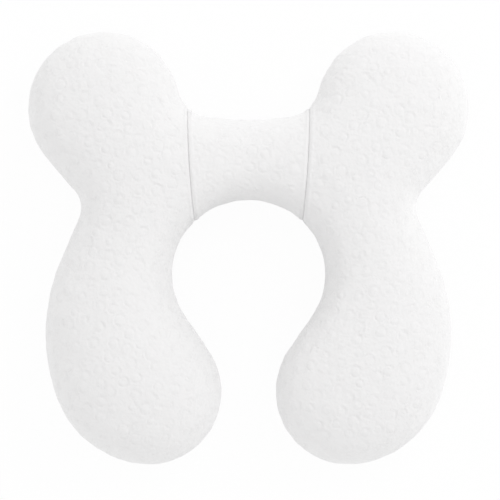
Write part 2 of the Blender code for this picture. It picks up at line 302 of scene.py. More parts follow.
@dataclass
class PackedCover:
    """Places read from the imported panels."""

    lip_level: float = 27.0 * MM  # where the front cloth rolls over above the seam round the outline
    hem_level: float = 24.0 * MM  # that seam
    level_slack: float = 0.01 * MM
    side_tilt: float = 0.5  # a side's normal points up or down by this at most
    sample_steps: int = 8  # points read from each side
    crossing_level: float = -10.0 * MM  # in Y, below the short seams, above where their lines cross a lobe

    def panel(self, part: Part) -> bpy.types.Mesh:
        """Return the mesh of a part's front panel."""
        return frame["nodes"][f"{part.value}_front_panel"].data

    def outline(self) -> OutlineSample:
        """Read the outline from the sides of the front panels that lie on the lip.

        Returns:
            Evenly spread points on each side, with its outward direction.
        """
        points, outward = [], []
        steps = (np.arange(self.sample_steps) + 0.5)[:, None] / self.sample_steps
        for part in Part:
            mesh = self.panel(part)
            places = read_points(mesh)
            for face in mesh.polygons:
                corners = places[list(face.vertices)]
                on_lip = np.abs(corners[:, 2] - self.lip_level) < self.level_slack
                is_side = abs(face.normal.z) <= self.side_tilt and corners[:, 2].min() >= self.hem_level
                if on_lip.sum() != 2 or not is_side:
                    continue
                first, last = corners[on_lip][:, :2]
                direction = np.array(face.normal[:2])
                points.append(first + (last - first) * steps)
                outward.append(np.tile(direction / np.hypot(*direction), (self.sample_steps, 1)))
        return OutlineSample(np.concatenate(points), np.concatenate(outward))

    def short_seam(self, side: int) -> ShortSeam:
        """Read a seam from the ends of the bridge's front panel.

        Args:
            side: -1 for the seam on the left of the bridge and 1 for the one on its right.

        Returns:
            The seam.
        """
        places = read_points(self.panel(Part.BRIDGE))
        places = places[np.abs(places[:, 2] - self.lip_level) < self.level_slack]
        places = places[places[:, 0] * side > 0.0]
        bottom = places[places[:, 1].argmin(), :2]
        top = places[places[:, 1].argmax(), :2]
        return ShortSeam(side, bottom, top, self.crossing_level)


# The padded body


@dataclass
class PaddedBody:
    """The whole stuffed pillow as one closed skin, before it is cut at the short seams."""

    cover: PackedCover
    start_growth: float = 1.0 * MM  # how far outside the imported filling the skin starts
    start_slack: float = 0.03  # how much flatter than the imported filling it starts, as a share
    merge_distance: float = 0.01 * MM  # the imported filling's loose triangles are joined within this
    voxel: float = 6.3 * MM
    pressure: float = 40.0
    stiffness: float = 6.0
    last_frame: int = 20
    most_swell: float = 6.0 * MM
    hem_band: float = 3.0 * MM  # cloth this near the seam's level is held there
    easing: float = 0.5  # how far one round of smoothing moves a point towards its neighbours
    body_rounds: int = 2  # of smoothing, on the swollen skin
    front_rounds: int = 2  # and on the fine faces of the front
    fitting_depth: float = 22.0 * MM  # how far inside the outline the fitting to it fades out
    fitting_reach: float = 3.0 * MM  # each place's misfit is the most within this along the outline
    fitting_width: float = 5.0 * MM  # and is then averaged with its neighbours over this
    fine_from: float = 19.0 * MM  # the cloth above this level has the finest faces

    def build(self) -> bpy.types.Object:
        """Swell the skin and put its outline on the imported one.

        Returns:
            The body, one closed mesh.
        """
        body = self.skin()
        self.swell(body)
        apply_modifier(body, "SMOOTH", factor=self.easing, iterations=self.body_rounds)
        apply_modifier(body, "SUBSURF", levels=2, render_levels=2)
        self.fit_outline(body)
        self.rest_on_floor(body)
        self.refine_front(body)
        LOG.info("padded body: %d faces", len(body.data.polygons))
        return body

    def skin(self) -> bpy.types.Object:
        """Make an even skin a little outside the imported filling.

        Returns:
            The skin as a new object.
        """
        mesh = frame["nodes"]["fibre_filling"].data.copy()
        mesh.materials.clear()
        body = bpy.data.objects.new("pillow_body", mesh)
        bpy.context.scene.collection.objects.link(body)
        edit(body)
        bpy.ops.mesh.remove_doubles(threshold=self.merge_distance)
        leave_edit()
        apply_modifier(body, "SUBSURF", levels=1, render_levels=1)
        apply_modifier(body, "DISPLACE", strength=self.start_growth, mid_level=0.0)
        points = read_points(body.data)
        points[:, 2] -= self.start_slack * (points[:, 2] - self.cover.hem_level)
        write_points(body.data, points)
        apply_modifier(body, "REMESH", mode="VOXEL", voxel_size=self.voxel)
        return body

    def swell(self, body: bpy.types.Object) -> None:
        """Blow the skin up as cloth, held along the outline's seam, and cap how far each point goes.

        Args:
            body: the skin.
        """
        start = read_points(body.data)
        hem = body.vertex_groups.new(name="hem")
        held = np.abs(start[:, 2] - self.cover.hem_level) < self.hem_band
        hem.add(np.flatnonzero(held).tolist(), 1.0, "REPLACE")
        activate(body)
        modifier = body.modifiers.new("Swell", "CLOTH")
        cloth = modifier.settings
        cloth.use_pressure = True
        cloth.uniform_pressure_force = self.pressure
        cloth.tension_stiffness = cloth.compression_stiffness = cloth.shear_stiffness = self.stiffness
        cloth.vertex_group_mass = hem.name
        cloth.effector_weights.gravity = 0.0
        modifier.point_cache.frame_start = 1
        modifier.point_cache.frame_end = self.last_frame
        for step in range(1, self.last_frame + 1):
            bpy.context.scene.frame_set(step)
        bpy.ops.object.modifier_apply(modifier=modifier.name)
        body.vertex_groups.clear()
        moved = read_points(body.data) - start
        length = np.linalg.norm(moved, axis=1)
        LOG.info("swelling: mean %.2f mm, most %.2f mm", length.mean() / MM, length.max() / MM)
        share = np.minimum(1.0, self.most_swell / np.maximum(length, TINY))
        write_points(body.data, start + moved * share[:, None])

    def fit_outline(self, body: bpy.types.Object) -> None:
        """Move the sides level, in or out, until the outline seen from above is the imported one.

        Args:
            body: the swollen skin.
        """
        outline = self.cover.outline()
        tree = KDTree(len(outline.points))
        for index, (x, y) in enumerate(outline.points):
            tree.insert((x, y, 0.0), index)
        tree.balance()
        points = read_points(body.data)
        nearest = np.array([tree.find((x, y, 0.0))[1] for x, y, _ in points])
        outside = ((points[:, :2] - outline.points[nearest]) * outline.outward[nearest]).sum(axis=1)
        reach = np.full(len(outline.points), -np.inf)
        np.maximum.at(reach, nearest, outside)
        seen = np.flatnonzero(np.isfinite(reach))
        error = np.empty(len(reach))
        for index, (x, y) in enumerate(outline.points):
            beside = seen[np.hypot(*(outline.points[seen] - (x, y)).T) < self.fitting_reach]
            error[index] = reach[beside].max() if len(beside) else 0.0
        error = self.averaged(outline.points, error)
        share = smooth_step(1.0 + outside / self.fitting_depth)
        points[:, :2] -= (error[nearest] * share)[:, None] * outline.outward[nearest]
        write_points(body.data, points)
        LOG.info("outline: moved %.2f to %.2f mm", -error.max() / MM, -error.min() / MM)

    def averaged(self, places: np.ndarray, values: np.ndarray) -> np.ndarray:
        """Average values along the outline, each with its neighbours.

        Args:
            places: where the values are, in X and Y.
            values: one value for each place.

        Returns:
            The averaged values.
        """
        mean = np.empty(len(values))
        for index, place in enumerate(places):
            weight = bump(np.hypot(*(places - place).T), self.fitting_width)
            mean[index] = (weight * values).sum() / weight.sum()
        return mean

    def rest_on_floor(self, body: bpy.types.Object) -> None:
        """Press flat what would lie below the surface that the pillow rests on.

        Args:
            body: the swollen skin.
        """
        points = read_points(body.data)
        points[:, 2] = np.maximum(points[:, 2], 0.0)
        write_points(body.data, points)

    def refine_front(self, body: bpy.types.Object) -> None:
        """Halve the faces of the front and of the sides down past the hem, and even them out.

        Args:
            body: the swollen skin.
        """
        edit(body, read_faces(body.data)[:, 2] > self.fine_from)
        bpy.ops.mesh.subdivide(number_cuts=1)
        bpy.ops.mesh.vertices_smooth(factor=self.easing, repeat=self.front_rounds)
        leave_edit()


# Seams and relief


@dataclass
class ShortSeamRelief:
    """The crease at a short seam, with the cloth rolling up beside it."""

    depth: float = 0.95 * MM
    width: float = 0.55 * MM
    roll: float = 0.28 * MM
    roll_place: float = 1.9 * MM
    roll_width: float = 0.8 * MM

    def depths(self, points: np.ndarray, seams: tuple[ShortSeam, ...]) -> np.ndarray:
        """Work out how deep the cloth is drawn in.

        Args:
            points: where it is wanted.
            seams: the two short seams.

        Returns:
            One depth for each point.
        """
        total = np.zeros(len(points))
        for seam in seams:
            away = np.abs(seam.distance(points))
            profile = self.depth * np.exp(-away / self.width)
            profile -= self.roll * bump(away - self.roll_place, self.roll_width)
            total += np.where(seam.beside(points), profile, 0.0)
        return total


@dataclass
class HemRelief:
    """The seam round the outline: a groove between two rolls, slightly puckered by its stitching."""

    depth: float = 1.3 * MM
    width: float = 0.75 * MM
    roll: float = 0.3 * MM
    roll_place: float = 2.6 * MM
    roll_width: float = 1.5 * MM
    pucker: float = 0.1 * MM
    puckers: Ripple = Ripple(wavelength=7.0 * MM, seed=11, waves=7)
    pucker_rise: float = 0.15  # how fast a pucker changes upwards, as a share of its change along the seam
    pucker_reach: float = 6.0 * MM

    def depths(self, points: np.ndarray, level: float) -> np.ndarray:
        """Work out how deep the cloth is drawn in.

        Args:
            points: where it is wanted.
            level: how high the seam is.

        Returns:
            One depth for each point.
        """
        above = np.abs(points[:, 2] - level)
        groove = self.depth * bump(above, self.width)
        groove -= self.roll * bump(above - self.roll_place, self.roll_width)
        upright = points * np.array([1.0, 1.0, self.pucker_rise])
        return groove + self.pucker * self.puckers.heights(upright) * np.exp(-above / self.pucker_reach)


@dataclass
class TensionFold:
    """One faint pull line in the taut cloth, as a shallow furrow in plan."""

    middle: tuple[float, float]
    half_length: float
    angle: float  # from +X, in degrees
    width: float = 1.5 * MM
    depth: float = 0.22 * MM

    def depths(self, points: np.ndarray) -> np.ndarray:
        """Work out how deep the cloth is drawn in.

        Args:
            points: where it is wanted.

        Returns:
            One depth for each point.
        """
        turn = math.radians(self.angle)
        along_way = np.array([math.cos(turn), math.sin(turn)])
        offset = points[:, :2] - self.middle
        along = offset @ along_way
        aside = offset @ np.array([-along_way[1], along_way[0]])
        return self.depth * bump(aside, self.width) * bump(along, self.half_length)


@dataclass
class RingPattern:
    """Rings pressed into the knit, each a shallow groove between a raised lip and a puffed middle."""

    spacing: float = 7.7 * MM
    radii: tuple[float, float] = (2.3 * MM, 3.8 * MM)
    groove: float = 0.4 * MM
    groove_width: float = 0.62 * MM
    lip: float = 0.21 * MM
    lip_place: float = 1.3 * MM  # how far outside the groove the lip stands
    puff: float = 0.26 * MM
    evenness: float = 0.62  # 1 for whole rings, less for broken ones
    single_swing: float = 0.28  # a ring is this much stronger on one side than in the mean
    double_swing: float = 0.24  # and this much stronger at two opposite places
    lowest: float = 27.5 * MM  # no ring is centred below this level
    fading: float = 3.0 * MM  # and its parts below that level fade out over this
    tries: int = 9000
    seed: int = 5

    def centres(self, points: np.ndarray) -> np.ndarray:
        """Choose the rings' centres on the cloth, at least the spacing apart.

        Args:
            points: the cloth's points.

        Returns:
            One row for each ring.
        """
        random = np.random.default_rng(self.seed)
        candidates = points[points[:, 2] > self.lowest]
        candidates = candidates[random.permutation(len(candidates))[: self.tries]]
        chosen = np.empty((0, 3))
        for place in candidates:
            if not len(chosen) or np.linalg.norm(chosen - place, axis=1).min() > self.spacing:
                chosen = np.vstack([chosen, place])
        return chosen

    def depths(self, points: np.ndarray) -> tuple[np.ndarray, np.ndarray]:
        """Work out how deep the cloth is drawn in, and where the grooves are.

        Args:
            points: the cloth's points.

        Returns:
            One depth for each point, and from 0 to 1 how far it is in a groove.
        """
        centres = self.centres(points)
        random = np.random.default_rng(self.seed + 1)
        radii = random.uniform(*self.radii, len(centres))
        turns = random.uniform(0.0, 2.0 * math.pi, len(centres))
        tree = KDTree(len(centres))
        for index, place in enumerate(centres):
            tree.insert(place, index)
        tree.balance()
        nearest = np.array([tree.find(place)[1] for place in points])
        offset = points - centres[nearest]
        away = np.linalg.norm(offset, axis=1)
        radius = radii[nearest]
        angle = np.arctan2(offset[:, 1], offset[:, 0])
        turn = turns[nearest]
        strength = self.evenness + self.single_swing * np.cos(angle - turn)
        strength += self.double_swing * np.cos(2.0 * angle + 3.0 * turn)
        strength = np.clip(strength, 0.0, 1.0)
        in_groove = strength * bump(away - radius, self.groove_width)
        on_lip = strength * bump(away - radius - self.lip_place, self.groove_width)
        puffed = np.clip(1.0 - (away / radius) ** 2, 0.0, 1.0)
        on_front = smooth_step((points[:, 2] - self.lowest + self.fading) / self.fading)
        LOG.info("ring pattern: %d rings", len(centres))
        depths = self.groove * in_groove - self.lip * on_lip - self.puff * puffed
        return depths * on_front, in_groove * on_front


def small_rings() -> RingPattern:
    """Return the finer, fainter rings between the large ones."""
    return RingPattern(
        spacing=5.4 * MM, radii=(0.9 * MM, 1.6 * MM), groove=0.17 * MM, groove_width=0.5 * MM, lip=0.06 * MM,
        lip_place=1.0 * MM, puff=0.05 * MM, evenness=0.4, seed=17,
    )


@dataclass
class ClothRelief:
    """All that is pressed into the stuffed cloth or raised on it."""

    cover: PackedCover
    seams: tuple[ShortSeam, ...]
    short_seams: ShortSeamRelief = field(default_factory=ShortSeamRelief)
    hem: HemRelief = field(default_factory=HemRelief)
    rings: RingPattern = field(default_factory=RingPattern)
    small_rings: RingPattern = field(default_factory=small_rings)
    folds: tuple[TensionFold, ...] = (  # beside the opening, on the right wing's arm
        TensionFold((78.0 * MM, -56.0 * MM), 9.0 * MM, 4.0),
        TensionFold((88.0 * MM, -60.5 * MM), 8.0 * MM, 2.0),
        TensionFold((84.0 * MM, -66.0 * MM), 7.0 * MM, -3.0),
    )
    rings_on_sides: float = 0.08  # how much of the rings is left where the cloth stands upright
    ring_clearance: float = 4.0 * MM  # the rings fade out this near a short seam
    lump: float = 0.13 * MM  # of the filling, felt through the cloth
    lumps: Ripple = Ripple(wavelength=14.0 * MM, seed=23, waves=24)
    floor_clearance: float = 4.0 * MM  # all relief fades out this near the floor
    seam_hold: float = 3.0 * MM  # cloth this near a short seam keeps its distance from it when pressed in

    def press(self, body: bpy.types.Object, on_seam: np.ndarray) -> None:
        """Draw in the seams, folds and rings, and note at each point how far it is in a ring's groove, as
        the mask of the shade that the material paints there.

        Args:
            body: the stuffed pillow, with edges along its short seams.
            on_seam: the side of the short seam that each point is on, and 0 elsewhere.
        """
        points, normals = read_points(body.data), read_normals(body.data)
        depths, painted_groove_shade = self.rings.depths(points)
        depths += self.small_rings.depths(points)[0]
        clear = self.ring_share(points, normals)
        depths *= clear
        depths += self.short_seams.depths(points, self.seams)
        depths += self.hem.depths(points, self.cover.hem_level)
        depths += self.lump * self.lumps.heights(points)
        for fold in self.folds:
            depths += fold.depths(points) * (points[:, 2] > self.cover.lip_level)
        depths *= smooth_step(points[:, 2] / self.floor_clearance)
        moved = -normals * depths[:, None]
        for seam in self.seams:
            held = np.where(seam.beside(points), bump(seam.distance(points), self.seam_hold), 0.0)
            moved[:, :2] -= (held * (moved[:, :2] @ seam.across))[:, None] * seam.across
        points += moved
        points[:, 2] = np.maximum(points[:, 2], 0.0)
        for seam in self.seams:
            here = on_seam == seam.side
            points[here, :2] -= seam.distance(points[here])[:, None] * seam.across
        write_points(body.data, points)
        # painted shade: the mask by which the material colours the rings' grooves darker
        shading = body.data.attributes.new("painted_groove_shade", "FLOAT", "POINT")
        shading.data.foreach_set("value", (painted_groove_shade * clear).astype(np.float32))

    def ring_share(self, points: np.ndarray, normals: np.ndarray) -> np.ndarray:
        """Work out how much of the rings is left, less beside the short seams and on the sides.

        Args:
            points: the cloth's points.
            normals: the cloth's normals there.

        Returns:
            A share from 0 to 1 for each point.
        """
        away = np.min([np.abs(seam.distance(points)) for seam in self.seams], axis=0)
        away = np.where(points[:, 1] > self.cover.crossing_level, away, np.inf)
        facing_up = self.rings_on_sides + (1.0 - self.rings_on_sides) * np.clip(normals[:, 2], 0.0, 1.0) ** 2
        return smooth_step(away / self.ring_clearance) * facing_up


# Materials


class Graph:
    """A node tree with short calls to add nodes and link them."""

    def __init__(self, tree: bpy.types.NodeTree) -> None:
        """Take over a tree and empty it."""
        self.tree = tree
        tree.nodes.clear()

    def node(self, kind: str, **values: object) -> bpy.types.Node:
        """Add a node.

        Args:
            kind: the node's type without the words ShaderNode.
            values: the node's own properties.

        Returns:
            The new node.
        """
        made = self.tree.nodes.new(kind if kind.startswith("Node") else f"ShaderNode{kind}")
        for name, value in values.items():
            setattr(made, name, value)
        return made

    def feed(self, target: bpy.types.NodeSocket, source: object) -> None:
        """Link a socket to another, or set its value.

        Args:
            target: the input to feed.
            source: an output to link to it, or its value.
        """
        if isinstance(source, bpy.types.NodeSocket):
            self.tree.links.new(source, target)
        else:
            target.default_value = source

    def math(self, operation: str, *sources: object) -> bpy.types.NodeSocket:
        """Add a Math node.

        Args:
            operation: what it does, such as ADD.
            sources: its inputs, each a socket or a number.

        Returns:
            Its output.
        """
        made = self.node("Math", operation=operation)
        for target, source in zip(made.inputs, sources):
            self.feed(target, source)
        return made.outputs[0]

    def mix_colour(self, share: object, first: object, second: object) -> bpy.types.NodeSocket:
        """Add a mix of two colours.

        Args:
            share: how much of the second colour there is.
            first: the first colour.
            second: the second colour.

        Returns:
            The mixed colour.
        """
        made = self.node("Mix", data_type="RGBA")
        for name, source in (("Factor_Float", share), ("A_Color", first), ("B_Color", second)):
            target = next(socket for socket in made.inputs if socket.identifier == name)
            self.feed(target, source)
        return next(socket for socket in made.outputs if socket.identifier == "Result_Color")

    def noise(self, place: bpy.types.NodeSocket, scale: float, detail: float) -> bpy.types.NodeSocket:
        """Add soft noise.

        Args:
            place: where the noise is looked up.
            scale: how many blobs there are to a metre, roughly.
            detail: how many finer layers are added.

        Returns:
            Its height, from 0 to 1.
        """
        made = self.node("TexNoise")
        self.feed(made.inputs["Vector"], place)
        made.inputs["Scale"].default_value = scale
        made.inputs["Detail"].default_value = detail
        return made.outputs["Fac"]

    def bump(
        self, height: bpy.types.NodeSocket, distance: float, strength: float = 1.0, under: object = None
    ) -> bpy.types.NodeSocket:
        """Add a bump.

        Args:
            height: the height of the surface.
            distance: how high a height of 1 is.
            strength: how much of the bump is used.
            under: the normal that the bump is added to, or None for the surface's own.

        Returns:
            The bumped normal.
        """
        made = self.node("Bump")
        made.inputs["Distance"].default_value = distance
        made.inputs["Strength"].default_value = strength
        self.feed(made.inputs["Height"], height)
        if under is not None:
            self.feed(made.inputs["Normal"], under)
        return made.outputs["Normal"]


@dataclass(frozen=True)
class KnitStitches:
    """How the knitted stitches, their fibres and the padded cloth's crinkle look close up."""

    leg_slant: float = 1.2  # courses that a leg climbs over the width of a stitch
    loop_share: float = 0.6  # how much of a leg's height its loop takes
    fibre_scale: float = 900.0  # blobs to a metre, roughly, as in the two other scales
    fibre_detail: float = 3.0
    fibre_height: float = 0.5  # as a share of a stitch's height
    fibre_tone: float = 0.45  # how much the fibres and the patches each change the tone
    patch_tone: float = 0.4
    patch_scale: float = 28.0
    patch_detail: float = 2.0
    crinkle_scale: float = 330.0
    crinkle_detail: float = 1.5

    def build(self) -> bpy.types.NodeTree:
        """Make the shader group that draws stitches, for a place on the flat cloth and on the body.

        Its Height rises over the two slanting legs of each stitch, its Crinkle is the soft unevenness of
        the padded cloth, and its Tone varies from fibre to fibre and over wide patches.

        Returns:
            The group.
        """
        tree = bpy.data.node_groups.new("knit stitches", "ShaderNodeTree")
        for way, kind, names in (
            ("INPUT", "NodeSocketVector", ("Place", "Body")),
            ("INPUT", "NodeSocketFloat", ("Wale", "Course")),
            ("OUTPUT", "NodeSocketFloat", ("Height", "Crinkle", "Tone")),
        ):
            for name in names:
                tree.interface.new_socket(name, in_out=way, socket_type=kind)
        graph = Graph(tree)
        inlet = graph.node("NodeGroupInput")
        outlet = graph.node("NodeGroupOutput")
        place, body = inlet.outputs["Place"], inlet.outputs["Body"]
        fibre = graph.noise(place, self.fibre_scale, self.fibre_detail)
        patch = graph.noise(body, self.patch_scale, self.patch_detail)
        stitch = self.stitch_height(graph, place, inlet)
        height = graph.math("ADD", stitch, graph.math("MULTIPLY", fibre, self.fibre_height))
        patches = graph.math("MULTIPLY", patch, self.patch_tone)
        graph.feed(outlet.inputs["Height"], height)
        graph.feed(outlet.inputs["Crinkle"], graph.noise(body, self.crinkle_scale, self.crinkle_detail))
        graph.feed(outlet.inputs["Tone"], graph.math("MULTIPLY_ADD", fibre, self.fibre_tone, patches))
        return tree

    def stitch_height(
        self, graph: Graph, place: bpy.types.NodeSocket, inlet: bpy.types.Node
    ) -> bpy.types.NodeSocket:
        """Add the height of the stitches' legs.

        Args:
            graph: the group's graph.
            place: the place on the flat cloth.
            inlet: the group's inputs, with a stitch's width and height.

        Returns:
            The height, from 0 between the stitches to 1 on a leg.
        """
        parts = graph.node("SeparateXYZ")
        graph.feed(parts.inputs[0], place)
        wale = graph.math("DIVIDE", parts.outputs[0], inlet.outputs["Wale"])
        course = graph.math("DIVIDE", parts.outputs[1], inlet.outputs["Course"])
        aside = graph.math("ABSOLUTE", graph.math("SUBTRACT", graph.math("FRACT", wale), 0.5))
        leg = graph.math("PINGPONG", graph.math("MULTIPLY", aside, 2.0), 0.5)
        slanted = graph.math("ADD", course, graph.math("MULTIPLY", aside, self.leg_slant))
        wave = graph.math("SINE", graph.math("MULTIPLY", slanted, 2.0 * math.pi))
        loop = graph.math("MULTIPLY_ADD", wave, 0.5, 0.5)
        rounded = graph.math("MULTIPLY_ADD", loop, self.loop_share, 1.0 - self.loop_share)
        return graph.math("MULTIPLY", graph.math("MULTIPLY", leg, 2.0), rounded)


@dataclass(frozen=True)
class KnitFinish:
    """A matt white knit, with shade painted as a darker colour into the bottoms of its rings' grooves."""

    name: str
    light: tuple[float, float, float, float] = (0.875, 0.87, 0.87, 1.0)
    shade: tuple[float, float, float, float] = (0.83, 0.822, 0.824, 1.0)
    # painted shade: the colour that the bottoms of the rings' grooves are painted, darker, as if shaded
    painted_groove_shade: tuple[float, float, float, float] = (0.80, 0.79, 0.793, 1.0)
    painted_shade_share: float = 0.15  # how much of that painted shade colour the bottom of a ring's groove takes
    wale: float = 0.8 * MM  # a stitch's width
    course: float = 0.62 * MM  # and its height
    stitch_height: float = 0.07 * MM
    stitch_strength: float = 0.7
    crinkle_height: float = 0.62 * MM
    roughness: float = 0.92
    specular: float = 0.25
    sheen: float = 0.95
    sheen_roughness: float = 0.8

    def build(self, stitches: bpy.types.NodeTree) -> bpy.types.Material:
        """Make the material, which reads the piece's place on the flat cloth and its mask of the rings'
        grooves, into which shade is painted as a darker colour.

        Args:
            stitches: the shader group that draws the stitches.

        Returns:
            The material.
        """
        material = bpy.data.materials.new(self.name)
        material.use_nodes = True
        graph = Graph(material.node_tree)
        place = graph.node("Attribute", attribute_name="cloth_place")
        painted_groove_shade = graph.node("Attribute", attribute_name="painted_groove_shade")
        knit = graph.node("Group", node_tree=stitches)
        graph.feed(knit.inputs["Place"], place.outputs["Vector"])
        graph.feed(knit.inputs["Body"], graph.node("TexCoord").outputs["Object"])
        knit.inputs["Wale"].default_value = self.wale
        knit.inputs["Course"].default_value = self.course
        cloth = graph.mix_colour(knit.outputs["Tone"], self.shade, self.light)
        # painted shade: the grooves' bottoms take some of the darker colour
        in_groove = graph.math("MULTIPLY", painted_groove_shade.outputs["Fac"], self.painted_shade_share)
        crinkled = graph.bump(knit.outputs["Crinkle"], self.crinkle_height)
        stitched = graph.bump(knit.outputs["Height"], self.stitch_height, self.stitch_strength, crinkled)
        shader = graph.node("BsdfPrincipled")
        graph.feed(shader.inputs["Base Color"], graph.mix_colour(in_groove, cloth, self.painted_groove_shade))
        graph.feed(shader.inputs["Normal"], stitched)
        shader.inputs["Roughness"].default_value = self.roughness
        shader.inputs["Specular IOR Level"].default_value = self.specular
        shader.inputs["Sheen Weight"].default_value = self.sheen
        shader.inputs["Sheen Roughness"].default_value = self.sheen_roughness
        outlet = graph.node("OutputMaterial")
        graph.feed(outlet.inputs["Surface"], shader.outputs[0])
        return material


@dataclass
class Cloth:
    """The two cloths of the cover, and how they are laid on the body."""

    cover: PackedCover
    front: KnitFinish = KnitFinish("ring knit")
    back: KnitFinish = KnitFinish("back knit")
    side_radius: float = 30.0 * MM  # of the curve from the front down to the hem, to lay the cloth flat

    def dress(self, body: bpy.types.Object) -> None:
        """Give the body its two cloths and, at each point, its place on the flat cloth.

        Args:
            body: the stuffed pillow.
        """
        stitches = KnitStitches().build()
        body.data.materials.append(self.front.build(stitches))
        body.data.materials.append(self.back.build(stitches))
        in_front = read_faces(body.data)[:, 2] > self.cover.hem_level
        sides = np.where(in_front, Face.FRONT.value, Face.BACK.value)
        body.data.polygons.foreach_set("material_index", sides)
        body.data.shade_smooth()
        places = body.data.attributes.new("cloth_place", "FLOAT_VECTOR", "POINT")
        places.data.foreach_set("vector", self.flat_places(body.data).astype(np.float32).ravel())

    def flat_places(self, mesh: bpy.types.Mesh) -> np.ndarray:
        """Roll the cloth of the sides out flat.

        Args:
            mesh: the body's mesh.

        Returns:
            A place on the flat cloth for each vertex.
        """
        points, normals = read_points(mesh), read_normals(mesh)
        level = np.hypot(normals[:, 0], normals[:, 1])
        turn = np.arctan2(level, np.abs(normals[:, 2]))
        extra = self.side_radius * (turn - np.sin(turn)) / np.maximum(level, TINY)
        flat = np.zeros_like(points)
        flat[:, :2] = points[:, :2] + normals[:, :2] * extra[:, None]
        return flat


# The pieces


@dataclass
class SeamCut:
    """The cuts along the short seams that part the body into its cushions."""

    cover: PackedCover
    seams: tuple[ShortSeam, ...]
    rows: tuple[float, ...] = (0.35 * MM, 0.8 * MM, 1.4 * MM)  # where the cloth beside a seam gets edges
    snap: float = 0.06 * MM  # a point this near such a row goes onto it
    snap_slack: float = 1.02  # and the seam's own points are found within this many snaps
    half_gap: float = 0.04 * MM  # between two pieces, on each side of a seam
    bow: float = 0.9 * MM  # how far the middle of a seam stands away from the bridge
    bow_reach: float = 14.0 * MM  # the cloth this near goes along
    strips: int = 18  # each closed cut is this many strips, so that it can follow the bow
    strip_snap: float = 0.02 * MM
    cap_facing: float = 0.999  # a closed cut's normal lies this much across the seam
    cap_reach: float = 0.12 * MM  # and its middle lies this near the seam's line

    def score(self, body: bpy.types.Object) -> np.ndarray:
        """Cut lines of edges round the body along each short seam and beside it.

        Args:
            body: the stuffed pillow.

        Returns:
            The side of the short seam that each point is on, and 0 elsewhere.
        """
        for seam in self.seams:
            for offset in (0.0, *self.rows, *(-row for row in self.rows)):
                near = seam.beside(read_faces(body.data))
                cut_faces(body, near, seam.bottom + offset * seam.across, seam.across, self.snap)
        points = read_points(body.data)
        on_seam = np.zeros(len(points), int)
        for seam in self.seams:
            near = np.abs(seam.distance(points)) <= self.snap_slack * self.snap
            on_seam[near & seam.beside(points)] = seam.side
        return on_seam

    def belongs(self, part: Part, centres: np.ndarray) -> np.ndarray:
        """Sort the body's faces by their middles.

        Args:
            part: the piece that is wanted.
            centres: the faces' middles.

        Returns:
            True for each face of that piece.
        """
        inner = centres[:, 1] > self.cover.crossing_level
        for seam in self.seams:
            inner &= seam.distance(centres) < 0.0
        if part is Part.BRIDGE:
            return inner
        side = -1 if part is Part.LEFT_WING else 1
        return ~inner & (centres[:, 0] * side > 0.0)

    def cut_out(self, body: bpy.types.Object, part: Part, on_seam: np.ndarray) -> bpy.types.Object:
        """Make one closed cushion from its faces of the body.

        Args:
            body: the stuffed pillow, with its relief and its cloth.
            part: the piece to make.
            on_seam: the side of the short seam that each of the body's points is on, and 0 elsewhere.

        Returns:
            The cushion.
        """
        piece = body.copy()
        piece.data = body.data.copy()
        piece.name = piece.data.name = f"{part.value}_cushion"
        bpy.context.scene.collection.objects.link(piece)
        points = read_points(piece.data)
        for seam in self.seams:
            away = -self.half_gap if part is Part.BRIDGE else self.half_gap
            points[on_seam == seam.side, :2] += away * seam.across
        write_points(piece.data, points)
        edge_marks = piece.data.attributes.new("on_seam", "INT", "POINT")
        edge_marks.data.foreach_set("value", on_seam)
        edit(piece, ~self.belongs(part, read_faces(piece.data)))
        bpy.ops.mesh.delete(type="FACE")
        bpy.ops.mesh.select_all(action="SELECT")
        bpy.ops.mesh.fill_holes(sides=0)
        leave_edit()
        self.sharpen_rims(piece)
        for seam in self.seams:
            self.cut_strips(piece, seam)
        self.bend(piece)
        return piece

    @staticmethod
    def sharpen_rims(piece: bpy.types.Object) -> None:
        """Mark the rim of each closed cut as sharp, so that the cloth beside it shades on its own.

        Args:
            piece: the cushion, whose attribute on_seam is used up.
        """
        mesh = piece.data
        marks = np.empty(len(mesh.vertices), int)
        mesh.attributes["on_seam"].data.foreach_get("value", marks)
        ends = np.empty(len(mesh.edges) * 2, int)
        mesh.edges.foreach_get("vertices", ends)
        sharp = (marks[ends.reshape(-1, 2)] != 0).all(axis=1)
        mesh.edges.foreach_set("use_edge_sharp", sharp)
        mesh.attributes.remove(mesh.attributes["on_seam"])

    def cut_strips(self, piece: bpy.types.Object, seam: ShortSeam) -> None:
        """Cut the closed cut at a seam into upright strips, if the cushion has one there.

        Args:
            piece: the cushion.
            seam: the seam.
        """
        for step in range(1, self.strips):
            centres = read_faces(piece.data)
            on_cap = np.abs(read_faces(piece.data, "normal")[:, :2] @ seam.across) > self.cap_facing
            on_cap &= (np.abs(seam.distance(centres)) < self.cap_reach) & seam.beside(centres)
            if not on_cap.any():
                return
            place = seam.bottom + seam.run * step / self.strips
            cut_faces(piece, on_cap, place, seam.run / np.hypot(*seam.run), self.strip_snap)

    def bend(self, piece: bpy.types.Object) -> None:
        """Bow the short seams and the cloth beside them away from the bridge.

        Args:
            piece: the cushion.
        """
        points = read_points(piece.data)
        moved = np.zeros((len(points), 2))
        for seam in self.seams:
            share = (points[:, :2] - seam.bottom) @ seam.run / (seam.run @ seam.run)
            curve = self.bow * 4.0 * np.clip(share * (1.0 - share), 0.0, None)
            amount = np.where(seam.beside(points), curve * bump(seam.distance(points), self.bow_reach), 0.0)
            moved += amount[:, None] * seam.across
        points[:, :2] += moved
        write_points(piece.data, points)


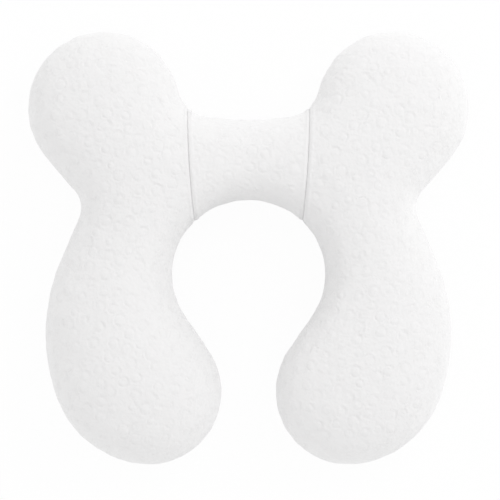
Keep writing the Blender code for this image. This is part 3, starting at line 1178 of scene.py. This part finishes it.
@dataclass
class Pillow:
    """The padded pieces of the pillow, with their cloth."""

    cover: PackedCover = field(default_factory=PackedCover)
    slot: str = "ring_knit"  # the record's material slot of the front panels
    fill: float = 0.9

    def build(self) -> list[bpy.types.Object]:
        """Build the pieces, dress them and put them on the frame.

        Returns:
            The three cushions.
        """
        seams = (self.cover.short_seam(-1), self.cover.short_seam(1))
        cut = SeamCut(self.cover, seams)
        body = PaddedBody(self.cover).build()
        on_seam = cut.score(body)
        ClothRelief(self.cover, seams).press(body, on_seam)
        Cloth(self.cover).dress(body)
        cushions = []
        for part in Part:
            cushion = cut.cut_out(body, part, on_seam)
            self.place(cushion, part)
            cushions.append(cushion)
        bpy.data.objects.remove(body)
        return cushions

    def place(self, cushion: bpy.types.Object, part: Part) -> None:
        """Put a cushion on the frame for its packed panels and the filling.

        Args:
            cushion: the finished cushion.
            part: which piece it is.
        """
        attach(cushion, "root")
        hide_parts(f"{part.value}_front_panel", f"{part.value}_back_panel", "fibre_filling")


# The studio


@dataclass
class Studio:
    """A pale floor, a camera straight above and soft light from the upper right."""

    view_width: float = 318.9 * MM  # what the picture's width spans at the outline's level
    view_centre: tuple[float, float] = (0.94 * MM, -1.12 * MM)
    view_depth: float = 50.0  # how far the camera sees
    outline_level: float = PackedCover.hem_level
    camera_height: float = 2.6
    sensor: float = 36.0  # in the lens's own millimetres
    floor_size: float = 14.0
    floor_drop: float = 0.3 * MM
    floor_colour: tuple[float, float, float, float] = (0.95, 0.95, 0.95, 1.0)
    floor_whiteness: float = 0.95  # the share of plain white in what the camera sees of the floor
    world_strength: float = 0.9
    key_power: float = 8.6
    key_place: tuple[float, float, float] = (1.16, 1.16, 1.15)
    key_size: float = 1.3
    white: tuple[float, float, float, float] = (1.0, 1.0, 1.0, 1.0)

    def build(self) -> None:
        """Add the floor, the camera and the light."""
        self.floor()
        self.camera()
        self.key()
        self.world()
        bpy.context.scene.view_settings.view_transform = "Standard"

    def camera(self) -> None:
        """Add the camera, straight above with a long lens."""
        lens = bpy.data.cameras.new("camera")
        lens.sensor_width = self.sensor
        lens.lens = self.sensor * (self.camera_height - self.outline_level) / self.view_width
        lens.clip_end = self.view_depth
        item = bpy.data.objects.new("camera", lens)
        item.location = (*self.view_centre, self.camera_height)
        bpy.context.scene.collection.objects.link(item)
        bpy.context.scene.camera = item

    def key(self) -> None:
        """Add the large soft lamp at the upper right."""
        lamp = bpy.data.lights.new("key", "AREA")
        lamp.shape = "DISK"
        lamp.size = self.key_size
        lamp.energy = self.key_power
        item = bpy.data.objects.new("key", lamp)
        item.location = self.key_place
        item.rotation_euler = (-Vector(self.key_place)).to_track_quat("-Z", "Y").to_euler()
        bpy.context.scene.collection.objects.link(item)

    def world(self) -> None:
        """Light the object evenly from all round, and show plain white behind it."""
        world = bpy.data.worlds.new("studio")
        world.use_nodes = True
        bpy.context.scene.world = world
        graph = Graph(world.node_tree)
        soft = graph.node("Background")
        plain = graph.node("Background")
        for background in (soft, plain):
            background.inputs["Color"].default_value = self.white
        soft.inputs["Strength"].default_value = self.world_strength
        mixed = graph.node("MixShader")
        for target, source in zip(mixed.inputs, (self.seen(graph), soft.outputs[0], plain.outputs[0])):
            graph.feed(target, source)
        outlet = graph.node("OutputWorld")
        graph.feed(outlet.inputs["Surface"], mixed.outputs[0])

    @staticmethod
    def seen(graph: Graph) -> bpy.types.NodeSocket:
        """Tell rays that look from rays that carry light.

        Args:
            graph: the graph to add the nodes to.

        Returns:
            1 where a ray from the camera, a reflection or a clear body looks, and 0 for light.
        """
        path = graph.node("LightPath")
        direct = graph.math("MAXIMUM", path.outputs["Is Camera Ray"], path.outputs["Is Glossy Ray"])
        return graph.math("MAXIMUM", direct, path.outputs["Is Transmission Ray"])

    def floor(self) -> None:
        """Add the pale floor, which looks white and keeps a faint shadow of the pillow."""
        bpy.ops.mesh.primitive_plane_add(size=self.floor_size, location=(0.0, 0.0, -self.floor_drop))
        item = bpy.context.object
        item.name = "floor"
        material = bpy.data.materials.new("white floor")
        material.use_nodes = True
        graph = Graph(material.node_tree)
        matt = graph.node("BsdfDiffuse")
        matt.inputs["Color"].default_value = self.floor_colour
        glow = graph.node("Emission")
        glow.inputs["Strength"].default_value = 1.0
        whiteness = graph.math("MULTIPLY", self.seen(graph), self.floor_whiteness)
        mixed = graph.node("MixShader")
        for target, source in zip(mixed.inputs, (whiteness, matt.outputs[0], glow.outputs[0])):
            graph.feed(target, source)
        outlet = graph.node("OutputMaterial")
        graph.feed(outlet.inputs["Surface"], mixed.outputs[0])
        item.data.materials.append(material)


def main() -> None:
    """Build the pillow and the studio, and report each piece's triangles."""
    logging.basicConfig(level=logging.INFO, format="%(name)s: %(message)s")
    for cushion in Pillow().build():
        triangles = sum(face.loop_total - 2 for face in cushion.data.polygons)
        LOG.info("%s: %d triangles", cushion.name, triangles)
    Studio().build()


if __name__ == "__main__":
    main()
